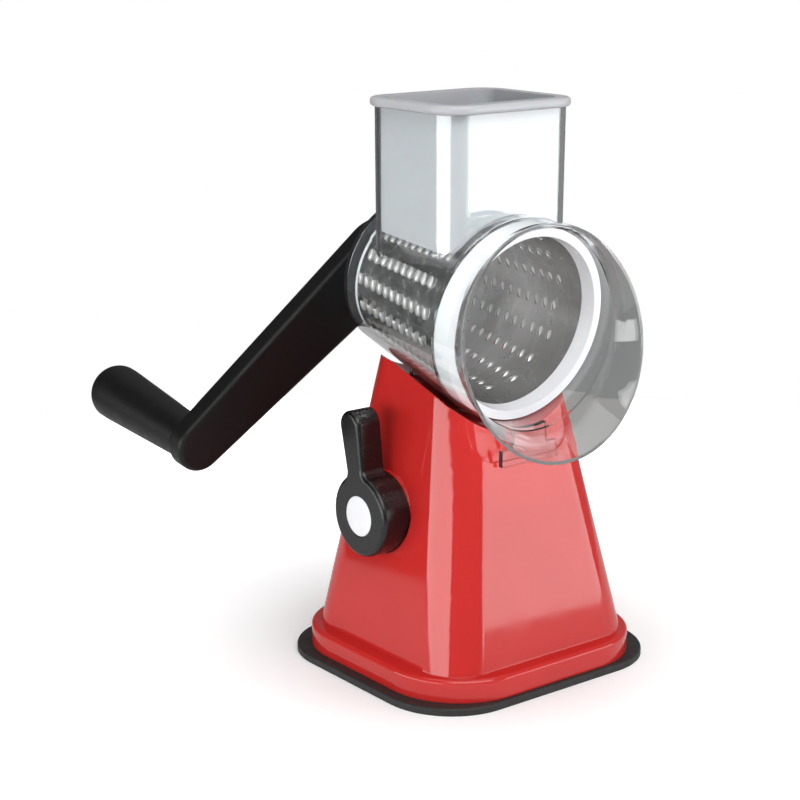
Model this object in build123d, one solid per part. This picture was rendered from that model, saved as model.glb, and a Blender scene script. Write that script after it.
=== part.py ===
from build123d import *
import os
from math import atan2, cos, degrees, radians, sin, sqrt

# Rotary cheese grater on a suction base. Millimetres, +Z up, the drum's mouth faces -Y,
# the crank is at +Y and the suction lever is on the -X side.
# The origin is on the table, under the middle of the base.

TOTAL_HEIGHT = 290.0

# Gaps
MOVING_GAP = 0.3          # between pieces that move past each other
SHAFT_GAP = 0.05          # radial, round shaft in its bore
SEAT_GAP = 0.05           # all round, a driven shape in its socket

# Suction pad
PAD_WIDTH = 156.8
PAD_DEPTH = 144.0
PAD_CORNER = 38.0
PAD_HEIGHT = 3.8
PAD_RIM_WIDTH = 9.0       # flat sealing band round the underside
PAD_DOME = 1.4            # how far the underside is hollowed inside the band
PAD_EDGE_ROUND = 1.2
HUB_FLANGE_RADIUS = 18.0
HUB_FLANGE_THICKNESS = 2.0
HUB_CORE_RADIUS = 13.0
HUB_CORE_LIFT = 1.6       # underside of the pad hub above the table

# Red housing
WALL = 2.6
PLINTH_WIDTH = 144.4
PLINTH_DEPTH = 139.0
PLINTH_CORNER = 41.0
PLINTH_TOP = 15.4
PLINTH_ROUND = 2.2
BODY_WIDTH = 126.0        # at the plinth's top
BODY_FRONT = 61.4
BODY_REAR = 59.9
BODY_CORNER = 21.5
BODY_TOP = 158.0
BODY_TOP_WIDTH = 73.4
BODY_TOP_FRONT = 33.4
BODY_TOP_REAR = 39.8
BODY_TOP_CORNER = 18.0
SADDLE_GAP = 3.4          # between the barrel and the saddle under it
FINGER_RECESS_HALF = 29.0
FINGER_RECESS_LOW = 115.2
FINGER_RECESS_CORNER = 10.0
FINGER_RECESS_DEPTH = 1.2

# Socket in the saddle and the chamber's foot that plugs into it
SOCKET_WIDTH = 40.0
SOCKET_DEPTH = 42.0
SOCKET_CORNER = 5.0
SOCKET_CENTRE_Y = 8.0
SOCKET_FLOOR = 122.0
SOCKET_WALL = 2.4
FOOT_GAP = 0.4
FOOT_WALL = 2.2

# Base plate and its screws
PLATE_THICKNESS = 2.5
PLATE_GAP = 0.5           # inside the plinth's wall
POST_RADIUS = 5.0
POST_TOP = 40.0
POST_X = 50.0
POST_Y = 47.0
SCREW_RADIUS = 1.5
SCREW_HEAD_RADIUS = 3.4
SCREW_HEAD_HEIGHT = 2.0
FLAT_HEAD_HEIGHT = 1.0    # of the sunk screws under the base
SCREW_LENGTH = 14.0
CUP_RADIUS = 24.0         # raised middle of the base plate
CUP_WALL = 2.2
CUP_TOP = 16.0
GUIDE_RADIUS = 9.0
GUIDE_TOP = 34.0

# Suction lever on the left wall
LEVER_Y = 7.5
LEVER_Z = 84.3
LEVER_BACK = 49.8         # distance of its back from the middle plane
LEVER_FACE = 66.7
LEVER_HUB_RADIUS = 21.1
LEVER_SKIRT_STEP = 0.3    # the hub is this much slimmer behind the arm
LEVER_ARM_BACK = 52.6
LEVER_ARM_LENGTH = 53.5
LEVER_ARM_TIP_RADIUS = 7.7
LEVER_ARM_NECK_HALF = 6.5
LEVER_ARM_NECK_AT = 22.0
LEVER_ARM_BLEND = 5.0
LEVER_LEAN = 10.5         # degrees, the arm leans to the rear
LEVER_EDGE_ROUND = 2.4
LEVER_TURN = 90.0
SEAT_DEPTH = 5.0          # thickness of the lever's seat in the wall
SEAT_BOSS_RADIUS = 20.5
SEAT_PAD_RADIUS = 25.0
CAP_RADIUS = 10.5
CAP_THICKNESS = 1.8

# Lever shaft, eccentric and the yoke it lifts
LEVER_SHAFT_RADIUS = 5.0
SHAFT_SQUARE = 7.0
SHAFT_SQUARE_OUTER = 12.0  # length of the square inside the lever's hub
BEARING_RADIUS = 8.5
BEARING_END = 14.0
ECCENTRIC_RADIUS = 9.0
ECCENTRIC_OFFSET = 3.6
ECCENTRIC_HALF_WIDTH = 6.0
ECCENTRIC_SCREW_HEAD = 6.0
YOKE_HALF_WIDTH = 4.0
YOKE_BAR = 4.5
YOKE_SLACK = 0.42         # clearance the eccentric needs up and down in the window
STEM_RADIUS = 5.0
STEM_SCREW_LENGTH = 12.0

# Drum axis: mouth end of the drum and the axis tilt
DRUM_MOUTH_Y = -42.1
DRUM_MOUTH_Z = 182.2
DRUM_TILT = 7.7           # degrees, the mouth end is the lower one

# Barrel's wide end, and the drum's front ring that turns in it
BARREL_FRONT_RADIUS = 51.4
BARREL_WALL = 1.7
RING_GAP = 0.4            # all round the ring
RING_TAPER = 0.5
RING_RADIUS = BARREL_FRONT_RADIUS - BARREL_WALL - RING_GAP
RING_REAR_RADIUS = RING_RADIUS - RING_TAPER

# Drum (depths are measured backwards from the front ring's face)
RING_WIDTH = 10.8
RING_BAND = 1.6
RING_FACE = 2.2
RING_INNER_FRONT = 44.7
RING_INNER_REAR = 43.9
RING_LIP_DEPTH = 8.5
SHEET_START = 4.0
SHEET_END = 88.0
SHEET_FRONT_RADIUS = 45.05  # inner
SHEET_REAR_RADIUS = 36.6    # inner
SHEET_THICKNESS = 0.6
SEAM_ANGLE = 128.0          # degrees round from the top, towards the lever side
SEAM_WIDTH = 9.0
HUB_DISC = 4.0
HUB_RIM = 2.0
HUB_BOSS_RADIUS = 13.0
HUB_BOSS_INSIDE = 12.0      # reach of the boss to either side of the sheet's rear edge
HUB_BOSS_OUTSIDE = 5.0
HUB_BOSS_FRONT = SHEET_END - HUB_BOSS_INSIDE
HUB_BOSS_REAR = SHEET_END + HUB_BOSS_OUTSIDE

# Clear feed chamber: barrel, chute, flare, foot and tongue
BARREL_FRONT = 10.7
BARREL_REAR_RADIUS = 40.0
REAR_WALL = 2.4
HUB_END_GAP = 2.0           # between the drum's hub and the barrel's rear wall
BARREL_REAR = HUB_BOSS_REAR + HUB_END_GAP + REAR_WALL
BARREL_STEP = 0.7           # the upper part of the wall is this much thicker
BARREL_STEP_HALF_ANGLE = 55.0
BOSS_RADIUS = 14.0
BOSS_LENGTH = 11.1
BOSS_END = BARREL_REAR + BOSS_LENGTH
COLLAR_TILT = 8.0           # degrees between the collar's front edge and the drum's face
COLLAR_FRONT = -7.5
FLARE_SPREAD = 7.0          # how much wider the rim is than the barrel, on its radius
FLARE_RADIUS = BARREL_FRONT_RADIUS + FLARE_SPREAD
FLARE_DEPTH = -22.0
FLARE_DROP = 2.9            # rim centre below the drum axis
FLARE_TILT = 17.4           # degrees between the rim and the drum's face
FLARE_HOLLOW = 1.0          # how far the funnel curves in from a straight cone
CHUTE_WIDTH = 79.6
CHUTE_DEPTH = 67.6
CHUTE_BOTTOM_WIDTH = 78.6
CHUTE_BOTTOM_DEPTH = 66.6
CHUTE_CORNER = 12.0
CHUTE_CENTRE_Y = 2.6
CHUTE_WALL = 2.0
CHUTE_ROOT = 195.0          # height where the chute's walls end inside the barrel
TONGUE_STEM_HALF = 10.8
TONGUE_BAR_HALF = 17.6
TONGUE_BAR_LOW = 113.0
TONGUE_BAR_HIGH = 121.3
TONGUE_TOP = 133.0
TONGUE_FRONT = -45.6
TONGUE_THICKNESS = 2.8

# Pusher
LIP_WIDTH = 85.0
LIP_DEPTH = 73.6
LIP_CORNER = 16.0
LIP_HEIGHT = 4.5
LIP_ROUND = 1.8
PUSHER_GAP = 0.5
PUSHER_WALL = 2.2
PUSHER_FLOOR = 221.0        # lowest edge of its side walls, at the middle
PUSHER_FLOOR_SLOPE = 5.9    # degrees
PUSHER_DRUM_GAP = 2.6       # its hollow underside above the steel

# Crank
BUSH_RADIUS = 9.5
BUSH_FLANGE_RADIUS = 12.5
BUSH_FLANGE = 1.5
CRANK_STANDOFF = 5.2        # from the bush's flange to the arm
CRANK_FRONT = BOSS_END + BUSH_FLANGE + CRANK_STANDOFF
CRANK_THICKNESS = 12.0
CRANK_HUB_RADIUS = 21.0
CRANK_END_RADIUS = 14.0
CRANK_END_X = -109.5
CRANK_END_DROP = 87.5
CRANK_EDGE_ROUND = 2.5
CRANK_BOSS_RADIUS = 13.0
JOURNAL_RADIUS = 7.0
HEX_WIDTH = 11.5            # across the flats of both driven ends
HEX_END_GAP = 2.0           # from the hub boss's front to the shaft's end
HEX_END = HUB_BOSS_FRONT + HEX_END_GAP
HEX_INTO_ARM = 6.8
HEX_REAR = CRANK_FRONT + HEX_INTO_ARM
CRANK_SCREW_RADIUS = 2.0
CRANK_SCREW_HEAD_RADIUS = 5.5
CRANK_SCREW_HEAD = 2.5

# Grip
GRIP_RADIUS_ARM = 11.7
GRIP_RADIUS_END = 15.1
GRIP_END_ROUND = 10.5
GRIP_LENGTH = 85.6
GRIP_GAP = 0.4
SPINDLE_RADIUS = 4.0
SPINDLE_ROOT = 8.0
SPINDLE_LENGTH = 72.0
SPINDLE_SCREW_RADIUS = 1.6
SPINDLE_SCREW_HEAD = 6.0
GRIP_CAP_RADIUS = 8.0
GRIP_CAP_DEPTH = 5.0

# Frame of the drum: local z runs backwards along the axis, local y points down.
DRUM = Plane(
    origin=(0, DRUM_MOUTH_Y, DRUM_MOUTH_Z),
    x_dir=(1, 0, 0),
    z_dir=(0, cos(radians(DRUM_TILT)), sin(radians(DRUM_TILT))),
)


def rounded_block(width, depth, corner, low, high, centre_y=0.0):
    """Upright block with rounded vertical corners."""
    outline = RectangleRounded(width, depth, corner)
    return Pos(0, centre_y, low) * extrude(outline, high - low)


def rounded_taper(low_size, high_size, low, high):
    """Tapered block. Each size is (half width, front, rear, corner radius)."""
    sections = []
    for (half, front, rear, corner), level in ((low_size, low), (high_size, high)):
        outline = RectangleRounded(2 * half, front + rear, corner)
        sections.append(Pos(0, (rear - front) / 2, level) * outline)
    return loft(sections, ruled=True)


def turned(points):
    """Solid turned about the drum axis from (radius, depth) points."""
    outline = make_face(Plane.XZ * Polyline(*points, close=True))
    return DRUM * revolve(outline, Axis.Z)


def rod_x(radius, start, end, y, z):
    """Round bar along X."""
    return Pos(start, y, z) * Rot(0, 90, 0) * Cylinder(
        radius, end - start, align=(Align.CENTER, Align.CENTER, Align.MIN)
    )


def rod_z(radius, low, high, x=0.0, y=0.0):
    """Round bar along Z."""
    return Pos(x, y, low) * Cylinder(
        radius, high - low, align=(Align.CENTER, Align.CENTER, Align.MIN)
    )


def rod_drum(radius, start, end, x=0.0, drop=0.0):
    """Round bar parallel to the drum axis, between two depths."""
    return DRUM * Pos(x, drop, start) * Cylinder(
        radius, end - start, align=(Align.CENTER, Align.CENTER, Align.MIN)
    )


def hex_drum(width, start, end):
    """Hexagonal bar on the drum axis. The width is across its flats."""
    outline = RegularPolygon(width / 2, 6, major_radius=False)
    return DRUM * Pos(0, 0, start) * extrude(outline, end - start)


def square_x(width, start, end):
    """Square bar along X on the lever's axis."""
    outline = Plane(origin=(start, LEVER_Y, LEVER_Z), x_dir=(0, 1, 0), z_dir=(1, 0, 0)) * Rectangle(
        width, width
    )
    return extrude(outline, end - start)


def barrel_radius(depth):
    """Outer radius of the barrel's cone at a depth."""
    slope = (BARREL_REAR_RADIUS - BARREL_FRONT_RADIUS) / (BARREL_REAR - BARREL_FRONT)
    return BARREL_FRONT_RADIUS + slope * (depth - BARREL_FRONT)


def sheet_radius(depth):
    """Inner radius of the steel sheet's cone at a depth."""
    slope = (SHEET_REAR_RADIUS - SHEET_FRONT_RADIUS) / (SHEET_END - SHEET_START)
    return SHEET_FRONT_RADIUS + slope * (depth - SHEET_START)


def barrel_cone(grow, front, rear):
    """Barrel-shaped solid grown outwards: a collar in front, then the cone."""
    collar = BARREL_FRONT_RADIUS + grow
    return turned([
        (0, front),
        (collar, front),
        (collar, BARREL_FRONT),
        (barrel_radius(rear) + grow, rear),
        (0, rear),
    ])


# ---------------------------------------------------------------- base

def make_suction_pad():
    """Rubber pad: flat sealing band, hollowed underside, hole for the pad hub."""
    pad = rounded_block(PAD_WIDTH, PAD_DEPTH, PAD_CORNER, 0, PAD_HEIGHT)
    pad = fillet(pad.edges().group_by(Axis.Z)[-1], PAD_EDGE_ROUND)
    inset = 2 * PAD_RIM_WIDTH
    pad -= rounded_block(
        PAD_WIDTH - inset, PAD_DEPTH - inset, PAD_CORNER - PAD_RIM_WIDTH, 0, PAD_DOME
    )
    pad -= rod_z(HUB_CORE_RADIUS + MOVING_GAP, 0, PAD_HEIGHT)
    return pad


def housing_outside():
    plinth = rounded_block(PLINTH_WIDTH, PLINTH_DEPTH, PLINTH_CORNER, PAD_HEIGHT, PLINTH_TOP)
    plinth = fillet(plinth.edges().group_by(Axis.Z)[-1], PLINTH_ROUND)
    low_size = (BODY_WIDTH / 2, BODY_FRONT, BODY_REAR, BODY_CORNER)
    high_size = (BODY_TOP_WIDTH / 2, BODY_TOP_FRONT, BODY_TOP_REAR, BODY_TOP_CORNER)
    return plinth + rounded_taper(low_size, high_size, PLINTH_TOP, BODY_TOP)


def housing_inside():
    plinth = rounded_block(
        PLINTH_WIDTH - 2 * WALL,
        PLINTH_DEPTH - 2 * WALL,
        PLINTH_CORNER - WALL,
        PAD_HEIGHT,
        PLINTH_TOP - WALL,
    )
    low_size = (BODY_WIDTH / 2 - WALL, BODY_FRONT - WALL, BODY_REAR - WALL, BODY_CORNER - WALL)
    high_size = (
        BODY_TOP_WIDTH / 2 - WALL,
        BODY_TOP_FRONT - WALL,
        BODY_TOP_REAR - WALL,
        BODY_TOP_CORNER - WALL,
    )
    taper = rounded_taper(low_size, high_size, PLINTH_TOP - WALL, BODY_TOP - WALL)
    saddle_floor = barrel_cone(SADDLE_GAP + WALL, -BARREL_REAR, 2 * BARREL_REAR)
    return plinth + taper - saddle_floor


def finger_recess():
    """Shallow recess in the front wall behind the locking tongue."""
    height = BODY_TOP - FINGER_RECESS_LOW + FINGER_RECESS_CORNER
    slope = (BODY_FRONT - BODY_TOP_FRONT) / (BODY_TOP - PLINTH_TOP)
    lean = Plane(
        origin=(0, -BODY_FRONT + slope * (FINGER_RECESS_LOW - PLINTH_TOP), FINGER_RECESS_LOW),
        x_dir=(1, 0, 0),
        z_dir=(0, -1, slope),
    )
    outline = Pos(0, height / 2) * RectangleRounded(
        2 * FINGER_RECESS_HALF, height, FINGER_RECESS_CORNER
    )
    recess = extrude(lean * outline, FINGER_RECESS_DEPTH)
    return recess + extrude(lean * outline, -FINGER_RECESS_DEPTH)


def screw_places():
    return [(x, y) for x in (-POST_X, POST_X) for y in (-POST_Y, POST_Y)]


def make_housing():
    """Red shell with its plinth, saddle, socket, lever seat and screw posts."""
    outside = housing_outside()
    inside = housing_inside()
    seat = -(LEVER_BACK - MOVING_GAP)
    shell = outside - inside

    posts = Part()
    for x, y in screw_places():
        posts += rod_z(POST_RADIUS, PAD_HEIGHT + PLATE_THICKNESS, POST_TOP, x, y)
    socket = rounded_block(
        SOCKET_WIDTH + 2 * SOCKET_WALL,
        SOCKET_DEPTH + 2 * SOCKET_WALL,
        SOCKET_CORNER + SOCKET_WALL,
        SOCKET_FLOOR - SOCKET_WALL,
        BODY_TOP,
        SOCKET_CENTRE_Y,
    )
    seat_pad = rod_x(SEAT_PAD_RADIUS, -LEVER_FACE, seat + SEAT_DEPTH, LEVER_Y, LEVER_Z)
    shell += (posts + socket + seat_pad) & outside
    shell += rod_x(SEAT_BOSS_RADIUS, seat, seat + SEAT_DEPTH, LEVER_Y, LEVER_Z)
    shell += rod_x(BEARING_RADIUS, seat, -BEARING_END, LEVER_Y, LEVER_Z)

    shell -= barrel_cone(SADDLE_GAP, -BARREL_REAR, 2 * BARREL_REAR)
    shell -= rounded_block(
        SOCKET_WIDTH, SOCKET_DEPTH, SOCKET_CORNER, SOCKET_FLOOR, BODY_TOP, SOCKET_CENTRE_Y
    )
    shell -= rod_x(LEVER_HUB_RADIUS + MOVING_GAP, -LEVER_FACE, seat, LEVER_Y, LEVER_Z)
    shell -= rod_x(LEVER_SHAFT_RADIUS + SHAFT_GAP, -LEVER_FACE, 0, LEVER_Y, LEVER_Z)
    shell -= finger_recess()
    for x, y in screw_places():
        shell -= rod_z(SCREW_RADIUS, PAD_HEIGHT, PAD_HEIGHT + SCREW_LENGTH, x, y)
    return shell


def make_base_plate():
    """Plate that closes the shell, with a raised cup and the stem's guide."""
    inset = 2 * (WALL + PLATE_GAP)
    low = PAD_HEIGHT
    plate = rounded_block(
        PLINTH_WIDTH - inset,
        PLINTH_DEPTH - inset,
        PLINTH_CORNER - inset / 2,
        low,
        low + PLATE_THICKNESS,
    )
    plate += rod_z(CUP_RADIUS, low, CUP_TOP)
    plate += rod_z(GUIDE_RADIUS, CUP_TOP, GUIDE_TOP)
    plate -= rod_z(CUP_RADIUS - CUP_WALL, low, CUP_TOP - CUP_WALL)
    plate -= rod_z(STEM_RADIUS + SHAFT_GAP, low, GUIDE_TOP)
    for x, y in screw_places():
        plate -= rod_z(SCREW_RADIUS, low, low + PLATE_THICKNESS, x, y)
        plate -= rod_z(SCREW_HEAD_RADIUS, low, low + FLAT_HEAD_HEIGHT, x, y)
    return plate


def make_plate_screws():
    """Four equal countersunk screws."""
    screws = []
    for x, y in screw_places():
        head = rod_z(SCREW_HEAD_RADIUS, PAD_HEIGHT, PAD_HEIGHT + FLAT_HEAD_HEIGHT, x, y)
        shank = rod_z(SCREW_RADIUS, PAD_HEIGHT, PAD_HEIGHT + SCREW_LENGTH, x, y)
        screws.append(head + shank)
    return Compound(children=screws)


# --------------------------------------------------------------- lever

def lever_plane(x):
    return Plane(origin=(x, LEVER_Y, LEVER_Z), x_dir=(0, 1, 0), z_dir=(1, 0, 0))


def lever_outline():
    """Round hub with a waisted arm that widens to a round tip."""
    tip = LEVER_ARM_LENGTH - LEVER_ARM_TIP_RADIUS
    blade = make_face(Polyline(
        (-LEVER_ARM_NECK_HALF, 0),
        (-LEVER_ARM_NECK_HALF, LEVER_ARM_NECK_AT),
        (-LEVER_ARM_TIP_RADIUS, tip),
        (LEVER_ARM_TIP_RADIUS, tip),
        (LEVER_ARM_NECK_HALF, LEVER_ARM_NECK_AT),
        (LEVER_ARM_NECK_HALF, 0),
        close=True,
    ))
    return Circle(LEVER_HUB_RADIUS) + Rot(0, 0, -LEVER_LEAN) * (
        blade + Pos(0, tip) * Circle(LEVER_ARM_TIP_RADIUS)
    )


def lever_distance(edge):
    """Distance of an edge from the lever's axis."""
    centre = edge.center()
    return sqrt((centre.Y - LEVER_Y) ** 2 + (centre.Z - LEVER_Z) ** 2)


def make_lever_knob():
    """Black knob: round hub and arm, with a cap recess and a square socket."""
    knob = extrude(lever_plane(-LEVER_FACE) * lever_outline(), LEVER_FACE - LEVER_ARM_BACK)
    upright = knob.edges().filter_by(Axis.X)
    knob = fillet([edge for edge in upright if lever_distance(edge) < LEVER_ARM_NECK_AT], LEVER_ARM_BLEND)
    knob = fillet(knob.edges().group_by(Axis.X)[0], LEVER_EDGE_ROUND)
    skirt_start = -LEVER_FACE + LEVER_EDGE_ROUND
    knob += rod_x(LEVER_HUB_RADIUS - LEVER_SKIRT_STEP, skirt_start, -LEVER_BACK, LEVER_Y, LEVER_Z)
    knob -= rod_x(CAP_RADIUS, -LEVER_FACE, -LEVER_FACE + CAP_THICKNESS, LEVER_Y, LEVER_Z)
    knob -= rod_x(
        SCREW_HEAD_RADIUS,
        -LEVER_FACE,
        -LEVER_FACE + CAP_THICKNESS + SCREW_HEAD_HEIGHT,
        LEVER_Y,
        LEVER_Z,
    )
    knob -= rod_x(SCREW_RADIUS, -LEVER_FACE, -LEVER_BACK, LEVER_Y, LEVER_Z)
    knob -= square_x(
        SHAFT_SQUARE + 2 * SEAT_GAP, -LEVER_BACK - SHAFT_SQUARE_OUTER + SEAT_GAP, -LEVER_BACK
    )
    return knob


def make_lever_cap():
    return rod_x(CAP_RADIUS, -LEVER_FACE, -LEVER_FACE + CAP_THICKNESS, LEVER_Y, LEVER_Z)


def make_lever_screw():
    start = -LEVER_FACE + CAP_THICKNESS
    head = rod_x(SCREW_HEAD_RADIUS, start, start + SCREW_HEAD_HEIGHT, LEVER_Y, LEVER_Z)
    return head + rod_x(SCREW_RADIUS, start, start + SCREW_LENGTH, LEVER_Y, LEVER_Z)


def make_lever_shaft():
    """Steel shaft: square in the lever, round in the wall, square in the eccentric."""
    outer_end = -LEVER_BACK - SHAFT_SQUARE_OUTER + 2 * SEAT_GAP
    shaft = rod_x(LEVER_SHAFT_RADIUS, -LEVER_BACK, -ECCENTRIC_HALF_WIDTH, LEVER_Y, LEVER_Z)
    shaft += square_x(SHAFT_SQUARE, outer_end, -LEVER_BACK)
    shaft += square_x(SHAFT_SQUARE, -ECCENTRIC_HALF_WIDTH, ECCENTRIC_HALF_WIDTH)
    screw_end = -LEVER_FACE + CAP_THICKNESS + SCREW_LENGTH
    shaft -= rod_x(SCREW_RADIUS, outer_end, screw_end, LEVER_Y, LEVER_Z)
    inner_end = ECCENTRIC_HALF_WIDTH - SCREW_LENGTH + SCREW_HEAD_HEIGHT
    shaft -= rod_x(SCREW_RADIUS, inner_end, ECCENTRIC_HALF_WIDTH, LEVER_Y, LEVER_Z)
    return shaft


def eccentric_drop():
    """How far the eccentric's centre sits below, and behind, the shaft at rest."""
    return ECCENTRIC_OFFSET * sin(radians(LEVER_TURN / 2))


def make_eccentric():
    """Round disc carried off-centre by the shaft."""
    disc = rod_x(
        ECCENTRIC_RADIUS,
        -ECCENTRIC_HALF_WIDTH,
        ECCENTRIC_HALF_WIDTH,
        LEVER_Y + eccentric_drop(),
        LEVER_Z - eccentric_drop(),
    )
    return disc - square_x(
        SHAFT_SQUARE + 2 * SEAT_GAP, -ECCENTRIC_HALF_WIDTH, ECCENTRIC_HALF_WIDTH
    )


def make_eccentric_screw():
    head_start = ECCENTRIC_HALF_WIDTH
    head = rod_x(
        ECCENTRIC_SCREW_HEAD, head_start, head_start + SCREW_HEAD_HEIGHT, LEVER_Y, LEVER_Z
    )
    tip = head_start - SCREW_LENGTH + SCREW_HEAD_HEIGHT
    return head + rod_x(SCREW_RADIUS, tip, head_start, LEVER_Y, LEVER_Z)


def make_pull_yoke():
    """Frame round the eccentric, with the stem that pulls the pad's middle up."""
    side_swing = ECCENTRIC_OFFSET - eccentric_drop()
    window_y = LEVER_Y + (ECCENTRIC_OFFSET + eccentric_drop()) / 2
    window_z = LEVER_Z - eccentric_drop()
    half_y = ECCENTRIC_RADIUS + side_swing / 2 + MOVING_GAP
    half_z = ECCENTRIC_RADIUS + YOKE_SLACK
    front = min(window_y - half_y - YOKE_BAR, -STEM_RADIUS)
    rear = window_y + half_y + YOKE_BAR
    low = window_z - half_z - YOKE_BAR
    high = window_z + half_z + YOKE_BAR
    frame = Pos(0, (front + rear) / 2, (low + high) / 2) * Box(
        2 * YOKE_HALF_WIDTH, rear - front, high - low
    )
    frame -= Pos(0, window_y, window_z) * Box(2 * YOKE_HALF_WIDTH, 2 * half_y, 2 * half_z)
    stem_low = hub_flange_top()
    stem = rod_z(STEM_RADIUS, stem_low, low + YOKE_BAR / 2)
    return frame + stem - rod_z(SCREW_RADIUS, stem_low, stem_low + STEM_SCREW_LENGTH)


def hub_flange_top():
    return PAD_HEIGHT + MOVING_GAP + HUB_FLANGE_THICKNESS


def make_pad_hub():
    """Stiff disc in the middle of the pad that the stem pulls up."""
    flange_low = PAD_HEIGHT + MOVING_GAP
    hub = rod_z(HUB_FLANGE_RADIUS, flange_low, hub_flange_top())
    hub += rod_z(HUB_CORE_RADIUS, HUB_CORE_LIFT, flange_low)
    hub -= rod_z(SCREW_RADIUS, HUB_CORE_LIFT, hub_flange_top())
    return hub - rod_z(SCREW_HEAD_RADIUS, HUB_CORE_LIFT, HUB_CORE_LIFT + FLAT_HEAD_HEIGHT)


def make_stem_screw():
    head = rod_z(SCREW_HEAD_RADIUS, HUB_CORE_LIFT, HUB_CORE_LIFT + FLAT_HEAD_HEIGHT)
    return head + rod_z(SCREW_RADIUS, HUB_CORE_LIFT, hub_flange_top() + STEM_SCREW_LENGTH)


# ------------------------------------------------------------- chamber

def tilted_section(outline, depth, drop, tilt):
    """Outline across the drum axis, its plane tilted so that the top leans back."""
    return DRUM * Pos(0, drop, depth) * Rot(-tilt, 0, 0) * outline


def flare(shrink):
    """Oblique funnel from the collar out to the rim, made thinner by shrink."""
    collar_radius = BARREL_FRONT_RADIUS - shrink
    rim_radius = FLARE_RADIUS - shrink
    collar_cut = Ellipse(collar_radius, collar_radius / cos(radians(COLLAR_TILT)))
    middle_circle = Circle((collar_radius + rim_radius) / 2 - FLARE_HOLLOW)
    middle_depth = (COLLAR_FRONT + FLARE_DEPTH) / 2
    middle_tilt = (COLLAR_TILT + FLARE_TILT) / 2
    collar = tilted_section(collar_cut, COLLAR_FRONT, 0, COLLAR_TILT)
    middle = tilted_section(middle_circle, middle_depth, FLARE_DROP / 2, middle_tilt)
    rim = tilted_section(Circle(rim_radius), FLARE_DEPTH, FLARE_DROP, FLARE_TILT)
    return loft([collar, middle, rim])


def front_trim():
    """Everything in front of the collar's tilted edge."""
    place = DRUM * Pos(0, 0, COLLAR_FRONT) * Rot(-COLLAR_TILT, 0, 0)
    return place * Cylinder(
        2 * FLARE_RADIUS, 2 * FLARE_RADIUS, align=(Align.CENTER, Align.CENTER, Align.MAX)
    )


def barrel_shape(grow, rear):
    return barrel_cone(grow, FLARE_DEPTH, rear) - front_trim()


def thick_sector():
    """Upper part of the barrel, between its two moulded steps."""
    reach = 2 * BARREL_FRONT_RADIUS
    side = reach * sin(radians(BARREL_STEP_HALF_ANGLE))
    high = -reach * cos(radians(BARREL_STEP_HALF_ANGLE))
    wedge = make_face(Polyline(
        (0, 0),
        (side, high),
        (side, -reach),
        (-side, -reach),
        (-side, high),
        close=True,
    ))
    return DRUM * Pos(0, 0, BARREL_FRONT) * extrude(wedge, BARREL_REAR - BARREL_FRONT)


def chute_shape(shrink, low, high):
    inset = 2 * shrink
    corner = CHUTE_CORNER - shrink
    top = RectangleRounded(CHUTE_WIDTH - inset, CHUTE_DEPTH - inset, corner)
    bottom = RectangleRounded(CHUTE_BOTTOM_WIDTH - inset, CHUTE_BOTTOM_DEPTH - inset, corner)
    return loft(
        [Pos(0, CHUTE_CENTRE_Y, low) * bottom, Pos(0, CHUTE_CENTRE_Y, high) * top], ruled=True
    )


def chute_top():
    return TOTAL_HEIGHT - LIP_HEIGHT - MOVING_GAP


def make_foot():
    """Hollow plug under the barrel that drops into the socket."""
    width = SOCKET_WIDTH - 2 * FOOT_GAP
    depth = SOCKET_DEPTH - 2 * FOOT_GAP
    corner = SOCKET_CORNER - FOOT_GAP
    low = SOCKET_FLOOR + FOOT_GAP
    high = DRUM_MOUTH_Z - SOCKET_WIDTH / 2
    plug = rounded_block(width, depth, corner, low, high, SOCKET_CENTRE_Y)
    return plug - rounded_block(
        width - 2 * FOOT_WALL,
        depth - 2 * FOOT_WALL,
        corner - FOOT_WALL,
        low,
        high,
        SOCKET_CENTRE_Y,
    )


def make_tongue():
    """T-shaped locking tongue in front of the base."""
    stem = Pos(0, (TONGUE_BAR_LOW + TONGUE_TOP) / 2) * Rectangle(
        2 * TONGUE_STEM_HALF, TONGUE_TOP - TONGUE_BAR_LOW
    )
    bar = Pos(0, (TONGUE_BAR_LOW + TONGUE_BAR_HIGH) / 2) * Rectangle(
        2 * TONGUE_BAR_HALF, TONGUE_BAR_HIGH - TONGUE_BAR_LOW
    )
    face = Plane(origin=(0, TONGUE_FRONT, 0), x_dir=(1, 0, 0), z_dir=(0, -1, 0))
    return extrude(face * (stem + bar), -TONGUE_THICKNESS)


def make_feed_chamber():
    """Clear chamber moulded in one piece."""
    outside = barrel_shape(0, BARREL_REAR)
    outside += barrel_cone(BARREL_STEP, 0, BARREL_REAR) & thick_sector()
    outside += chute_shape(0, CHUTE_ROOT, chute_top())
    outside += flare(0)
    outside += rod_drum(BOSS_RADIUS, BARREL_REAR - REAR_WALL, BOSS_END)
    outside += make_foot()
    outside += make_tongue()

    inside = barrel_shape(-BARREL_WALL, BARREL_REAR - REAR_WALL)
    inside += chute_shape(CHUTE_WALL, CHUTE_ROOT, chute_top())
    inside += flare(BARREL_WALL)
    return outside - inside - rod_drum(BUSH_RADIUS, BARREL_REAR - 2 * REAR_WALL, BOSS_END)


def make_rear_bush():
    """Plain bearing pressed into the chamber's rear boss."""
    front = BARREL_REAR - REAR_WALL
    bush = rod_drum(BUSH_RADIUS, front, BOSS_END)
    bush += rod_drum(BUSH_FLANGE_RADIUS, BOSS_END, BOSS_END + BUSH_FLANGE)
    return bush - rod_drum(JOURNAL_RADIUS + SHAFT_GAP, front, BOSS_END + BUSH_FLANGE)


# ---------------------------------------------------------------- drum

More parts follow.
